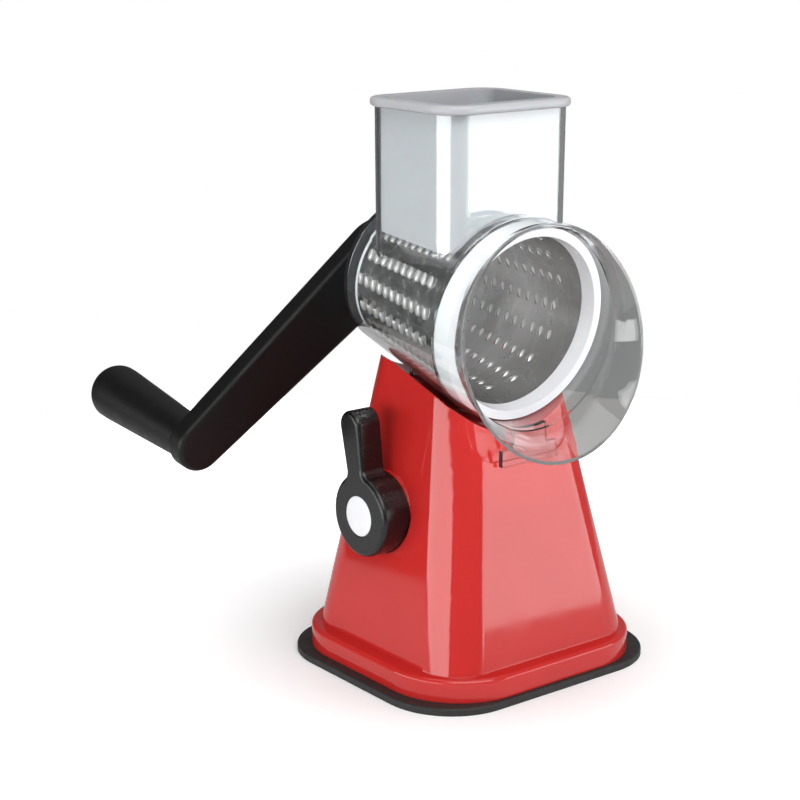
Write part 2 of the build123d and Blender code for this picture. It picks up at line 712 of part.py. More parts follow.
def make_front_ring():
    """White ring: outer band, front face and inner lip."""
    return turned([
        (RING_INNER_FRONT, 0),
        (RING_RADIUS, 0),
        (RING_REAR_RADIUS, RING_WIDTH),
        (RING_REAR_RADIUS - RING_BAND, RING_WIDTH),
        (RING_REAR_RADIUS - RING_BAND, RING_FACE),
        (SHEET_FRONT_RADIUS + 2 * SHEET_THICKNESS, RING_FACE),
        (SHEET_FRONT_RADIUS + 2 * SHEET_THICKNESS, SHEET_START),
        (SHEET_FRONT_RADIUS, SHEET_START),
        (sheet_radius(RING_LIP_DEPTH), RING_LIP_DEPTH),
        (RING_INNER_REAR, RING_LIP_DEPTH),
    ])


def make_drum_sheet():
    """Conical steel sheet with a lapped seam inside."""
    thick = SHEET_THICKNESS
    sheet = turned([
        (SHEET_FRONT_RADIUS, SHEET_START),
        (SHEET_FRONT_RADIUS + thick, SHEET_START),
        (SHEET_REAR_RADIUS + thick, SHEET_END),
        (SHEET_REAR_RADIUS, SHEET_END),
    ])
    lap_start = RING_LIP_DEPTH
    lap_end = SHEET_END - HUB_DISC
    lap_ring = turned([
        (sheet_radius(lap_start) - thick, lap_start),
        (sheet_radius(lap_start), lap_start),
        (sheet_radius(lap_end), lap_end),
        (sheet_radius(lap_end) - thick, lap_end),
    ])
    strip = Rot(0, 0, -SEAM_ANGLE) * Pos(0, -SHEET_FRONT_RADIUS / 2, lap_start) * Box(
        SEAM_WIDTH, SHEET_FRONT_RADIUS + 2 * thick, lap_end - lap_start,
        align=(Align.CENTER, Align.CENTER, Align.MIN),
    )
    return sheet + (lap_ring & (DRUM * strip))


def make_drum_hub():
    """Rear end of the drum, with the hexagonal drive socket."""
    disc_front = SHEET_END - HUB_DISC
    hub = turned([
        (0, disc_front),
        (sheet_radius(disc_front), disc_front),
        (SHEET_REAR_RADIUS, SHEET_END),
        (SHEET_REAR_RADIUS + SHEET_THICKNESS, SHEET_END),
        (SHEET_REAR_RADIUS + SHEET_THICKNESS, SHEET_END + HUB_RIM),
        (0, SHEET_END + HUB_RIM),
    ])
    hub += rod_drum(HUB_BOSS_RADIUS, HUB_BOSS_FRONT, HUB_BOSS_REAR)
    return hub - hex_drum(HEX_WIDTH + 2 * MOVING_GAP, HUB_BOSS_FRONT, HUB_BOSS_REAR)


# --------------------------------------------------------------- crank

def make_drive_shaft():
    """Shaft with a hexagon at each end and a round journal between them."""
    journal_front = BARREL_REAR - REAR_WALL - MOVING_GAP
    journal_rear = BOSS_END + BUSH_FLANGE + MOVING_GAP
    shaft = hex_drum(HEX_WIDTH, HEX_END, HEX_REAR)
    shaft += rod_drum(JOURNAL_RADIUS, journal_front, journal_rear)
    return shaft - rod_drum(CRANK_SCREW_RADIUS, HEX_REAR - SCREW_LENGTH, HEX_REAR)


def crank_arm_outline():
    towards_end = degrees(atan2(CRANK_END_DROP, CRANK_END_X))
    hub = Rot(0, 0, towards_end) * Circle(CRANK_HUB_RADIUS)
    end = Rot(0, 0, towards_end + 180) * Circle(CRANK_END_RADIUS)
    end = Pos(CRANK_END_X, CRANK_END_DROP) * end
    return make_hull(ShapeList(hub.edges() + end.edges()))


def make_crank_arm():
    """Tapered arm with a boss round the drive shaft and a socket for the spindle."""
    rear = CRANK_FRONT + CRANK_THICKNESS
    arm = DRUM * Pos(0, 0, CRANK_FRONT) * extrude(crank_arm_outline(), CRANK_THICKNESS)
    arm = fillet(arm.edges(), CRANK_EDGE_ROUND)
    boss_front = BOSS_END + BUSH_FLANGE + MOVING_GAP
    arm += rod_drum(CRANK_BOSS_RADIUS, boss_front, CRANK_FRONT + CRANK_EDGE_ROUND)
    arm -= hex_drum(HEX_WIDTH, boss_front, HEX_REAR)
    arm -= rod_drum(CRANK_SCREW_RADIUS, HEX_REAR, rear)
    arm -= rod_drum(CRANK_SCREW_HEAD_RADIUS, rear - CRANK_SCREW_HEAD, rear)
    return arm - rod_drum(SPINDLE_RADIUS, rear - SPINDLE_ROOT, rear, CRANK_END_X, CRANK_END_DROP)


def make_crank_screw():
    rear = CRANK_FRONT + CRANK_THICKNESS
    head = rod_drum(CRANK_SCREW_HEAD_RADIUS, rear - CRANK_SCREW_HEAD, rear)
    return head + rod_drum(CRANK_SCREW_RADIUS, HEX_REAR - SCREW_LENGTH, rear)


def grip_turned(points):
    """Solid turned about the grip's own axis."""
    outline = make_face(Plane.XZ * Polyline(*points, close=True))
    return DRUM * Pos(CRANK_END_X, CRANK_END_DROP, 0) * revolve(outline, Axis.Z)


def grip_front():
    return CRANK_FRONT + CRANK_THICKNESS + GRIP_GAP


def grip_rear():
    return CRANK_FRONT + CRANK_THICKNESS + GRIP_LENGTH


def spindle_end():
    return grip_front() + SPINDLE_LENGTH


def make_grip():
    """Loose sleeve, thicker towards its rounded free end."""
    grip = grip_turned([
        (0, grip_front()),
        (GRIP_RADIUS_ARM, grip_front()),
        (GRIP_RADIUS_END, grip_rear() - GRIP_RADIUS_END),
        (GRIP_RADIUS_END, grip_rear()),
        (0, grip_rear()),
    ])
    grip = fillet(grip.edges().group_by(Axis.Y)[-1], GRIP_END_ROUND)
    cap_seat = grip_rear() - GRIP_CAP_DEPTH
    bore_end = spindle_end() + MOVING_GAP
    grip -= rod_drum(
        SPINDLE_RADIUS + SHAFT_GAP, grip_front(), spindle_end(), CRANK_END_X, CRANK_END_DROP
    )
    return grip - rod_drum(
        GRIP_CAP_RADIUS, bore_end - 2 * MOVING_GAP, grip_rear(), CRANK_END_X, CRANK_END_DROP
    )


def make_grip_cap():
    return rod_drum(
        GRIP_CAP_RADIUS, grip_rear() - GRIP_CAP_DEPTH, grip_rear(), CRANK_END_X, CRANK_END_DROP
    )


def make_spindle():
    """Steel pin fixed in the arm that the grip turns on."""
    root = CRANK_FRONT + CRANK_THICKNESS - SPINDLE_ROOT
    spindle = rod_drum(SPINDLE_RADIUS, root, spindle_end(), CRANK_END_X, CRANK_END_DROP)
    return spindle - rod_drum(
        SPINDLE_SCREW_RADIUS,
        spindle_end() - SCREW_LENGTH,
        spindle_end(),
        CRANK_END_X,
        CRANK_END_DROP,
    )


def make_spindle_screw():
    head = rod_drum(
        SPINDLE_SCREW_HEAD,
        spindle_end(),
        spindle_end() + SCREW_HEAD_HEIGHT,
        CRANK_END_X,
        CRANK_END_DROP,
    )
    return head + rod_drum(
        SPINDLE_SCREW_RADIUS,
        spindle_end() - SCREW_LENGTH,
        spindle_end(),
        CRANK_END_X,
        CRANK_END_DROP,
    )


# -------------------------------------------------------------- pusher

def make_pusher():
    """Open-topped white pusher with a thick lip and a hollow underside."""
    shrink = CHUTE_WALL + PUSHER_GAP
    width = CHUTE_BOTTOM_WIDTH - 2 * shrink
    depth = CHUTE_BOTTOM_DEPTH - 2 * shrink
    corner = CHUTE_CORNER - shrink
    low = PUSHER_FLOOR - depth / 2
    lip_low = TOTAL_HEIGHT - LIP_HEIGHT
    body = rounded_block(width, depth, corner, low, lip_low, CHUTE_CENTRE_Y)
    lip = rounded_block(LIP_WIDTH, LIP_DEPTH, LIP_CORNER, lip_low, TOTAL_HEIGHT, CHUTE_CENTRE_Y)
    lip = fillet(lip.edges().group_by(Axis.Z)[-1] + lip.edges().group_by(Axis.Z)[0], LIP_ROUND)
    body += lip
    hollow = rounded_block(
        width - 2 * PUSHER_WALL,
        depth - 2 * PUSHER_WALL,
        corner - PUSHER_WALL,
        low,
        TOTAL_HEIGHT,
        CHUTE_CENTRE_Y,
    )
    grow = PUSHER_DRUM_GAP + SHEET_THICKNESS
    drum_space = turned([
        (0, -SHEET_END),
        (sheet_radius(-SHEET_END) + grow, -SHEET_END),
        (sheet_radius(2 * SHEET_END) + grow, 2 * SHEET_END),
        (0, 2 * SHEET_END),
    ])
    floor_skin = turned([
        (0, -SHEET_END),
        (sheet_radius(-SHEET_END) + grow + PUSHER_WALL, -SHEET_END),
        (sheet_radius(2 * SHEET_END) + grow + PUSHER_WALL, 2 * SHEET_END),
        (0, 2 * SHEET_END),
    ])
    below = Plane(
        origin=(0, CHUTE_CENTRE_Y, PUSHER_FLOOR),
        x_dir=(1, 0, 0),
        z_dir=(0, -sin(radians(PUSHER_FLOOR_SLOPE)), cos(radians(PUSHER_FLOOR_SLOPE))),
    ) * Box(2 * width, 2 * depth, depth, align=(Align.CENTER, Align.CENTER, Align.MAX))
    hollow = hollow - floor_skin - (Pos(0, 0, PUSHER_WALL) * below)
    return body - hollow - drum_space - below


NODES = {
    "suction_pad": make_suction_pad,
    "base_housing": make_housing,
    "base_plate": make_base_plate,
    "plate_screws": make_plate_screws,
    "lever_knob": make_lever_knob,
    "lever_cap": make_lever_cap,
    "lever_screw": make_lever_screw,
    "lever_shaft": make_lever_shaft,
    "eccentric": make_eccentric,
    "eccentric_screw": make_eccentric_screw,
    "pull_yoke": make_pull_yoke,
    "pad_hub": make_pad_hub,
    "stem_screw": make_stem_screw,
    "feed_chamber": make_feed_chamber,
    "rear_bush": make_rear_bush,
    "drum_front_ring": make_front_ring,
    "drum_sheet": make_drum_sheet,
    "drum_hub": make_drum_hub,
    "drive_shaft": make_drive_shaft,
    "crank_arm": make_crank_arm,
    "crank_screw": make_crank_screw,
    "crank_grip": make_grip,
    "grip_cap": make_grip_cap,
    "grip_spindle": make_spindle,
    "spindle_screw": make_spindle_screw,
    "pusher": make_pusher,
}

os.makedirs("parts", exist_ok=True)
for node, make in NODES.items():
    export_step(make(), f"parts/{node}.step")
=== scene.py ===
import bpy
from bpy.props import FloatProperty, FloatVectorProperty, IntProperty, PointerProperty
from math import atan2, cos, pi, radians, sin
from mathutils import Matrix, Vector


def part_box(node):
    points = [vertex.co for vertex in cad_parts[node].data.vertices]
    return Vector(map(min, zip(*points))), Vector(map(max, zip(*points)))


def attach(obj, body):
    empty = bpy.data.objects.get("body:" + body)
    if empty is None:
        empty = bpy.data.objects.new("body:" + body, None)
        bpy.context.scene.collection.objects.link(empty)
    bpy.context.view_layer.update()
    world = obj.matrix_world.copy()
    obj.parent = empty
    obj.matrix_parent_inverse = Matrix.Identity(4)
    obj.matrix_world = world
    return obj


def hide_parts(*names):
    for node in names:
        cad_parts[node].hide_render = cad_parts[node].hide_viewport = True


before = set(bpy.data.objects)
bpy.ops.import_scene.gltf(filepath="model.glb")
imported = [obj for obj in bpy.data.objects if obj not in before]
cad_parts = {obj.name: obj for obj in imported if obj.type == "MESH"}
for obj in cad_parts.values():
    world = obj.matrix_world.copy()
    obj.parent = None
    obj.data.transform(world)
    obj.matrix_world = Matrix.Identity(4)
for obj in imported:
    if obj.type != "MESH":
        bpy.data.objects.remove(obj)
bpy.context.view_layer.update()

bl_info = {
    "name": "Rotary cheese grater",
    "version": (1, 0, 0),
    "blender": (4, 5, 0),
    "location": "3D View > Sidebar > Grater",
    "description": "Finishes a hand-cranked drum grater: steel drum, caps, screw, plastics and studio",
    "category": "Object",
}

MM = 0.001

# The drum's axis, the same as in the CAD model: the middle of the mouth, and how far the rear end is raised.
DRUM_MOUTH = Vector((0, -42.1, 182.2)) * MM
DRUM_TILT = radians(7.7)
DRUM_AXIS = Vector((0, cos(DRUM_TILT), sin(DRUM_TILT)))
FACING_REAR = Matrix.Rotation(DRUM_TILT - radians(90), 4, "X")

# Shares and clearances of the drum's details
TOOTH_STEEL = 0.35 * MM
HOLE_LENGTH_SHARE = 0.9
HOLE_WIDTH_SHARE = 0.86
SEAM_FRONT_MARGIN = 5.0 * MM
SEAM_REAR_MARGIN = 4.2 * MM

# Crank screw: where its head's face lies behind the drum's mouth, its head, its cross slot and its shank
SCREW_FACE_DEPTH = 127.2 * MM
SCREW_HEAD_HEIGHT = 2.5 * MM
SLOT_DEPTH = 1.2 * MM
SLOT_LENGTH_SHARE = 1.2
SLOT_WIDTH_SHARE = 0.22
SHANK_RADIUS = 2 * MM
SHANK_LENGTH = 17 * MM
SHANK_TOP = 1.5 * MM


def linear(hex_colour):
    """Linear RGB of an sRGB hex colour."""
    channels = [int(hex_colour[i:i + 2], 16) / 255 for i in (0, 2, 4)]
    return [c / 12.92 if c <= 0.04045 else ((c + 0.055) / 1.055) ** 2.4 for c in channels]


# ---------------------------------------------------------------- settings

def size(name, description, default):
    """A length that the user may change, in metres."""
    return FloatProperty(name=name, description=description, default=default * MM, unit="LENGTH", precision=5)


def colour(name, description, default):
    """A colour that the user may change, given as sRGB hex."""
    return FloatVectorProperty(
        name=name, description=description, default=linear(default), subtype="COLOR", size=3, min=0, max=1
    )


def count_of(name, description, default):
    """A whole number of repeats that the user may change."""
    return IntProperty(name=name, description=description, default=default, min=2)


def power(name, description, default):
    """Power of a lamp, in watts."""
    return FloatProperty(name=name, description=description, default=default, unit="POWER")


class GraterDrumSettings(bpy.types.PropertyGroup):
    """Sizes of the perforated drum sheet and its teeth."""
    start: size("Start", "Depth of the sheet's front edge behind the drum's mouth", 4.0)
    end: size("End", "Depth of the sheet's rear edge", 88.0)
    front_radius: size("Front radius", "Inner radius at the front edge", 45.05)
    rear_radius: size("Rear radius", "Inner radius at the rear edge", 36.6)
    thickness: size("Thickness", "Thickness of the steel", 0.6)
    rows: count_of("Rows", "Rows of teeth round the drum", 18)
    first_angle: FloatProperty(
        name="First row", description="Angle of the first row from the top, towards the lever",
        default=radians(46.5), subtype="ANGLE",
    )
    long_row_start: size("Long row start", "Depth of the first tooth in a long row", 24.7)
    long_row_end: size("Long row end", "Depth of the last tooth in a long row", 85.1)
    long_row_teeth: count_of("Long row teeth", "Teeth in a long row", 11)
    short_row_start: size("Short row start", "Depth of the first tooth in a short row", 27.2)
    short_row_end: size("Short row end", "Depth of the last tooth in a short row", 82.2)
    short_row_teeth: count_of("Short row teeth", "Teeth in a short row", 10)
    tooth_width: size("Tooth width", "Width of a tooth along the drum", 3.9)
    tooth_length: size("Tooth length", "Length of a tooth round the drum", 6.4)
    tooth_height: size("Tooth height", "How far a tooth's tip stands off the sheet", 1.3)
    arch_height: size("Arch height", "How far a tooth bulges", 1.1)
    seam_angle: FloatProperty(
        name="Seam angle", description="Angle of the lapped seam from the top, towards the lever",
        default=radians(128), subtype="ANGLE",
    )
    seam_width: size("Seam width", "Width of the lap inside the drum", 9.0)


class GraterColours(bpy.types.PropertyGroup):
    """Colours of the plastics, rubber and steel."""
    red: colour("Red", "Red of the housing", "cb2c29")
    black: colour("Black", "Black of the crank, grip and lever", "0d0d0e")
    rubber: colour("Rubber", "Black of the suction pad", "262524")
    white: colour("White", "White of the front ring and lever cap", "f8f9fd")
    natural: colour("Natural", "White of the pusher", "c6c8cc")
    clear: colour("Clear", "Tint of the feed chamber", "f8fafa")
    sheet_steel: colour("Sheet steel", "Stamped stainless steel of the drum", "efeeec")
    # Tooth steel is a paler copy of the sheet steel: a painted highlight on the teeth.
    tooth_steel_painted_highlight: colour("Tooth steel", "Frosted steel of the punched teeth", "fafaf8")
    screw_steel: colour("Screw steel", "Zinc-plated steel of screws and shafts", "b9babb")


class GraterStageSettings(bpy.types.PropertyGroup):
    """Camera and lights."""
    camera_place: FloatVectorProperty(
        name="Camera", description="Place of the camera", default=(-0.6143, -0.7292, 0.3819),
        subtype="XYZ", unit="LENGTH",
    )
    camera_target: FloatVectorProperty(
        name="Target", description="Point that the camera looks at", default=(-0.0287, 0.0223, 0.1356),
        subtype="XYZ", unit="LENGTH",
    )
    focal_length: FloatProperty(
        name="Focal length", description="Lens, in millimetres on a 36 mm sensor", default=86.34,
        unit="CAMERA",
    )
    key_power: power("Key", "Power of the low box at the front right", 9.8)
    side_power: power("Side", "Power of the low box at the lever side", 11)
    front_power: power("Front", "Power of the high box over the camera", 16)
    top_power: power("Top", "Power of the box overhead", 9)


# ---------------------------------------------------------- modelling tools

def begin():
    """Leaves object mode with nothing selected."""
    if bpy.context.object and bpy.context.object.mode != "OBJECT":
        bpy.ops.object.mode_set(mode="OBJECT")
    bpy.ops.object.select_all(action="DESELECT")


def only(piece):
    """Makes a piece the only selected one, in object mode."""
    begin()
    piece.select_set(True)
    bpy.context.view_layer.objects.active = piece


def pick(piece, group, test):
    """Enters edit mode with just the faces or vertices selected whose place passes the test."""
    only(piece)
    face_mode = group == "FACE"
    bpy.context.tool_settings.mesh_select_mode = (not face_mode, False, face_mode)
    mesh = piece.data
    for items in (mesh.vertices, mesh.edges, mesh.polygons):
        items.foreach_set("select", [False] * len(items))
    for item in mesh.polygons if face_mode else mesh.vertices:
        item.select = test(item)
    bpy.ops.object.mode_set(mode="EDIT")


def apply_modifier(piece, kind, **settings):
    """Adds a modifier, sets it and applies it."""
    only(piece)
    modifier = piece.modifiers.new(kind.title(), kind)
    for name, value in settings.items():
        setattr(modifier, name, value)
    bpy.ops.object.modifier_apply(modifier=modifier.name)


def place(piece, matrix):
    """Puts a piece where the matrix says and bakes that into its mesh."""
    only(piece)
    piece.matrix_world = matrix @ piece.matrix_world
    bpy.ops.object.transform_apply(location=True, rotation=True, scale=True)


def join(pieces, name):
    """Joins pieces into one, named."""
    begin()
    for piece in pieces:
        piece.select_set(True)
    bpy.context.view_layer.objects.active = pieces[0]
    bpy.ops.object.join()
    joined = bpy.context.object
    joined.name = name
    return joined


def tidy_mesh(piece, smooth_angle):
    """Merges doubles, turns faces outwards and smooths up to an angle."""
    only(piece)
    bpy.ops.object.mode_set(mode="EDIT")
    bpy.ops.mesh.select_all(action="SELECT")
    bpy.ops.mesh.remove_doubles(threshold=0.01 * MM)
    bpy.ops.mesh.normals_make_consistent(inside=False)
    bpy.ops.object.mode_set(mode="OBJECT")
    bpy.ops.object.shade_smooth_by_angle(angle=radians(smooth_angle))


def complete(piece, material, body, slot, *nodes):
    """Gives a piece its material and body, and hides the CAD nodes that it stands for."""
    piece.data.materials.clear()
    piece.data.materials.append(material)
    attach(piece, body)
    if nodes:
        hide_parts(*nodes)


def drum_frame():
    """Matrix of the drum: z runs backwards along its axis and y points down."""
    down = DRUM_AXIS.cross(Vector((1, 0, 0)))
    turn = Matrix((Vector((1, 0, 0)), down, DRUM_AXIS)).transposed().to_4x4()
    return Matrix.Translation(DRUM_MOUTH) @ turn


# ---------------------------------------------------------------- materials

def add_node(tree, kind, values=None, links=None, **settings):
    """Adds a node with its settings, input values and incoming links."""
    node = tree.nodes.new(kind)
    for name, value in settings.items():
        setattr(node, name, value)
    for name, value in (values or {}).items():
        node.inputs[name].default_value = value
    for name, socket in (links or {}).items():
        tree.links.new(socket, node.inputs[name])
    return node


def new_material(name, **shader_values):
    """Material with one Principled shader; returns it, its tree, the shader and Object coordinates."""
    old = bpy.data.materials.get(name)
    if old:
        bpy.data.materials.remove(old)
    material = bpy.data.materials.new(name)
    material.use_nodes = True
    tree = material.node_tree
    tree.nodes.clear()
    shader = add_node(tree, "ShaderNodeBsdfPrincipled", values=shader_values)
    add_node(tree, "ShaderNodeOutputMaterial", links={"Surface": shader.outputs["BSDF"]})
    place_node = add_node(tree, "ShaderNodeTexCoord")
    return material, tree, shader, place_node.outputs["Object"]


def per_metre(millimetres):
    """Scale of a texture whose features are this size."""
    return 1 / (millimetres * MM)


def noise_of(tree, coords, spacing, detail):
    """Noise texture of a real spacing in millimetres."""
    values = {"Scale": per_metre(spacing), "Detail": detail}
    return add_node(tree, "ShaderNodeTexNoise", values=values, links={"Vector": coords})


def bump_of(tree, shader, height_socket, height, **links):
    """Relief of a real height in millimetres, set on the shader's normal."""
    bump = add_node(
        tree, "ShaderNodeBump",
        values={"Strength": 1.0, "Distance": height * MM}, links={"Height": height_socket, **links},
    )
    tree.links.new(bump.outputs["Normal"], shader.inputs["Normal"])


def mottle(tree, coords, spacing, low, high):
    """Noise of a real spacing in millimetres, spread between two values."""
    noise = noise_of(tree, coords, spacing, 4.0)
    spread = add_node(
        tree, "ShaderNodeMapRange",
        values={"From Min": 0.3, "From Max": 0.7, "To Min": low, "To Max": high},
        links={"Value": noise.outputs["Fac"]},
    )
    return spread.outputs["Result"]


def shade(tree, base, factor_socket, darker):
    """Base colour that drops towards a darker one where the factor is high."""
    mix = add_node(tree, "ShaderNodeMix", data_type="RGBA", links={"Factor": factor_socket})
    mix.inputs["A"].default_value = (*base, 1)
    mix.inputs["B"].default_value = (*[c * darker for c in base], 1)
    return mix.outputs["Result"]


def surface_bump(tree, shader, coords, spacing, height, edge_radius):
    """Fine moulded relief of a real spacing and height, over softly broken edges."""
    grain = noise_of(tree, coords, spacing, 2.0)
    edges = add_node(tree, "ShaderNodeBevel", values={"Radius": edge_radius * MM}, samples=4)
    bump_of(tree, shader, grain.outputs["Fac"], height, Normal=edges.outputs["Normal"])


def red_abs(colours):
    """Glossy injection-moulded ABS: deep even red with a mirror-like skin and faint orange peel."""
    material, tree, shader, coords = new_material("red_abs", IOR=1.54)
    cloud = mottle(tree, coords, 40, 0.0, 1.0)
    tree.links.new(shade(tree, colours.red, cloud, 0.93), shader.inputs["Base Color"])
    tree.links.new(mottle(tree, coords, 12, 0.05, 0.09), shader.inputs["Roughness"])
    surface_bump(tree, shader, coords, 3.0, 0.004, 0.7)
    return material


def black_abs(colours):
    """Satin black ABS with a spark-eroded skin, drawn coarser than its 0.1 mm grain so that it shows."""
    material, tree, shader, coords = new_material("black_abs", IOR=1.54)
    shader.inputs["Specular IOR Level"].default_value = 0.3
    cloud = mottle(tree, coords, 25, 0.0, 1.0)
    tree.links.new(shade(tree, colours.black, cloud, 0.8), shader.inputs["Base Color"])
    tree.links.new(mottle(tree, coords, 6, 0.42, 0.52), shader.inputs["Roughness"])
    surface_bump(tree, shader, coords, 0.5, 0.012, 0.6)
    return material


def gloss_black_abs(colours):
    """Black ABS from a polished mould: deep black with clear soft reflections."""
    material, tree, shader, coords = new_material("gloss_black_abs", IOR=1.54)
    cloud = mottle(tree, coords, 25, 0.0, 1.0)
    tree.links.new(shade(tree, colours.black, cloud, 0.85), shader.inputs["Base Color"])
    tree.links.new(mottle(tree, coords, 10, 0.22, 0.3), shader.inputs["Roughness"])
    surface_bump(tree, shader, coords, 2.5, 0.006, 0.8)
    return material


def pad_rubber(colours):
    """Moulded nitrile rubber: dull, slightly dusty black."""
    material, tree, shader, coords = new_material("nitrile_rubber", IOR=1.52)
    cloud = mottle(tree, coords, 9, 0.0, 1.0)
    tree.links.new(shade(tree, colours.rubber, cloud, 0.72), shader.inputs["Base Color"])
    tree.links.new(mottle(tree, coords, 4, 0.5, 0.66), shader.inputs["Roughness"])
    surface_bump(tree, shader, coords, 0.8, 0.02, 0.4)
    return material


def white_abs(colours):
    """Glossy white ABS, a little bluish, with light that sinks a millimetre in."""
    material, tree, shader, coords = new_material("white_abs", IOR=1.54)
    shader.inputs["Subsurface Weight"].default_value = 0.15
    shader.inputs["Subsurface Scale"].default_value = 1.0 * MM
    cloud = mottle(tree, coords, 18, 0.0, 1.0)
    tree.links.new(shade(tree, colours.white, cloud, 0.97), shader.inputs["Base Color"])
    tree.links.new(mottle(tree, coords, 8, 0.2, 0.28), shader.inputs["Roughness"])
    surface_bump(tree, shader, coords, 2.0, 0.004, 0.5)
    return material


def natural_polypropylene(colours):
    """Milky satin polypropylene: soft white with light spread inside the wall."""
    material, tree, shader, coords = new_material("natural_polypropylene", IOR=1.49)
    shader.inputs["Subsurface Weight"].default_value = 0.3
    shader.inputs["Subsurface Scale"].default_value = 2.0 * MM
    cloud = mottle(tree, coords, 22, 0.0, 1.0)
    tree.links.new(shade(tree, colours.natural, cloud, 0.97), shader.inputs["Base Color"])
    tree.links.new(mottle(tree, coords, 7, 0.3, 0.4), shader.inputs["Roughness"])
    surface_bump(tree, shader, coords, 1.2, 0.006, 0.6)
    return material


def clear_styrene(colours):
    """Polished clear styrene (SAN), faintly grey, with slow flow waves in the skin."""
    material, tree, shader, coords = new_material("clear_styrene", IOR=1.57)
    shader.inputs["Transmission Weight"].default_value = 0.99
    cloud = mottle(tree, coords, 30, 0.0, 1.0)
    tree.links.new(shade(tree, colours.clear, cloud, 0.98), shader.inputs["Base Color"])
    tree.links.new(mottle(tree, coords, 5, 0.0, 0.03), shader.inputs["Roughness"])
    waves = noise_of(tree, coords, 14, 1.0)
    bump_of(tree, shader, waves.outputs["Fac"], 0.02)
    let_lamps_through(tree, shader, colours.clear)
    return material


def let_lamps_through(tree, shader, tint):
    """Lets lamp light pass straight through a clear wall, so that what it encloses is lit."""
    sight = add_node(tree, "ShaderNodeLightPath")
    clear = add_node(tree, "ShaderNodeBsdfTransparent", values={"Color": (*tint, 1)})
    finish_with_mix(tree, sight.outputs["Is Shadow Ray"], shader, clear.outputs["BSDF"])


def finish_with_mix(tree, factor_socket, shader, other_socket):
    """Sends the output a mix of the shader and another closure."""
    mix = add_node(
        tree, "ShaderNodeMixShader", links={0: factor_socket, 1: shader.outputs["BSDF"], 2: other_socket}
    )
    output = next(node for node in tree.nodes if node.type == "OUTPUT_MATERIAL")
    tree.links.new(mix.outputs["Shader"], output.inputs["Surface"])


def brushed(name, base, roughness, spacing, height):
    """Steel with fine lines round the drum: long noise across a short one."""
    material, tree, shader, coords = new_material(name, Metallic=1.0)
    stretch = add_node(
        tree, "ShaderNodeMapping", values={"Scale": (0.08, 1.0, 0.08)}, links={"Vector": coords}
    )
    lines = noise_of(tree, stretch.outputs["Vector"], spacing, 3.0)
    tree.links.new(shade(tree, base, lines.outputs["Fac"], 0.8), shader.inputs["Base Color"])
    tree.links.new(mottle(tree, coords, 6, *roughness), shader.inputs["Roughness"])
    bump_of(tree, shader, lines.outputs["Fac"], height)
    return material


def stamped_stainless(colours):
    """Bright stamped stainless sheet. Its rolling lines are drawn 1.5 mm apart so that they show."""
    return brushed("stamped_stainless", colours.sheet_steel, (0.14, 0.3), 1.5, 0.0012)


def torn_stainless_painted_highlight(colours):
    """Stainless steel stretched by the punch: frosty, and painted paler than the sheet as a painted
    highlight, so the teeth stand out pale from the sheet.
    """
    return brushed("torn_stainless_painted_highlight", colours.tooth_steel_painted_highlight, (0.42, 0.55), 0.8, 0.002)


def zinc_steel(colours):
    """Zinc-plated turned steel: greyer and duller than the drum."""
    return brushed("zinc_plated_steel", colours.screw_steel, (0.26, 0.36), 0.3, 0.003)


FINISHES = {
    red_abs: ["base_housing"],
    black_abs: ["crank_arm", "crank_grip", "grip_cap", "base_plate"],
    gloss_black_abs: ["lever_knob"],
    pad_rubber: ["suction_pad"],
    white_abs: ["drum_front_ring", "drum_hub", "lever_cap", "rear_bush", "eccentric", "pull_yoke", "pad_hub"],
    natural_polypropylene: ["pusher"],
    clear_styrene: ["feed_chamber"],
    stamped_stainless: ["drum_sheet"],
    zinc_steel: [
        "plate_screws", "lever_screw", "lever_shaft", "eccentric_screw", "stem_screw",
        "drive_shaft", "crank_screw", "grip_spindle", "spindle_screw",
    ],
}


class GRATER_OT_finishes(bpy.types.Operator):
    """Makes the materials and gives them to the CAD nodes"""
    bl_idname = "grater.finishes"
    bl_label = "Plastics, rubber and steel"

    def execute(self, context):
        for make, nodes in FINISHES.items():
            material = make(context.scene.grater_colours)
            for node in nodes:
                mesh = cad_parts[node].data
                mesh.materials.clear()
                mesh.materials.append(material)
        return {"FINISHED"}


# --------------------------------------------------------------------- drum

def cone_wall(name, front_radius, rear_radius, start, end):
    """Open conical wall on the drum's own axis, in even facets."""
    begin()
    bpy.ops.mesh.primitive_cone_add(
        vertices=144, radius1=front_radius, radius2=rear_radius, depth=end - start,
        end_fill_type="NOTHING", location=(0, 0, (start + end) / 2),
    )
    wall = bpy.context.object
    wall.name = name
    bpy.ops.object.transform_apply(location=True, rotation=True, scale=True)
    return wall


def sheet_radius(drum, depth):
    """Inner radius of the sheet at a depth."""
    share = (depth - drum.start) / (drum.end - drum.start)
    return drum.front_radius + share * (drum.rear_radius - drum.front_radius)


def tooth_places(drum):
    """Matrix of every tooth in the drum's frame: x towards its tip, y along the drum, z outwards."""
    slope = atan2(drum.front_radius - drum.rear_radius, drum.end - drum.start)
    long_row = (drum.long_row_start, drum.long_row_end, drum.long_row_teeth)
    short_row = (drum.short_row_start, drum.short_row_end, drum.short_row_teeth)
    places = []
    for row in range(drum.rows):
        angle = drum.first_angle + row * 2 * pi / drum.rows
        out = Vector((-sin(angle), -cos(angle), 0))
        tip = Vector((cos(angle), -sin(angle), 0))
        along = Vector((0, 0, cos(slope))) - out * sin(slope)
        proud = out * cos(slope) + Vector((0, 0, sin(slope)))
        first, last, count = short_row if row % 2 else long_row
        for i in range(count):
            depth = first + i * (last - first) / (count - 1)
            foot = out * (sheet_radius(drum, depth) + drum.thickness) + Vector((0, 0, depth))
            turn = Matrix((tip, along, proud)).transposed().to_4x4()
            places.append(Matrix.Translation(foot) @ turn)
    return places


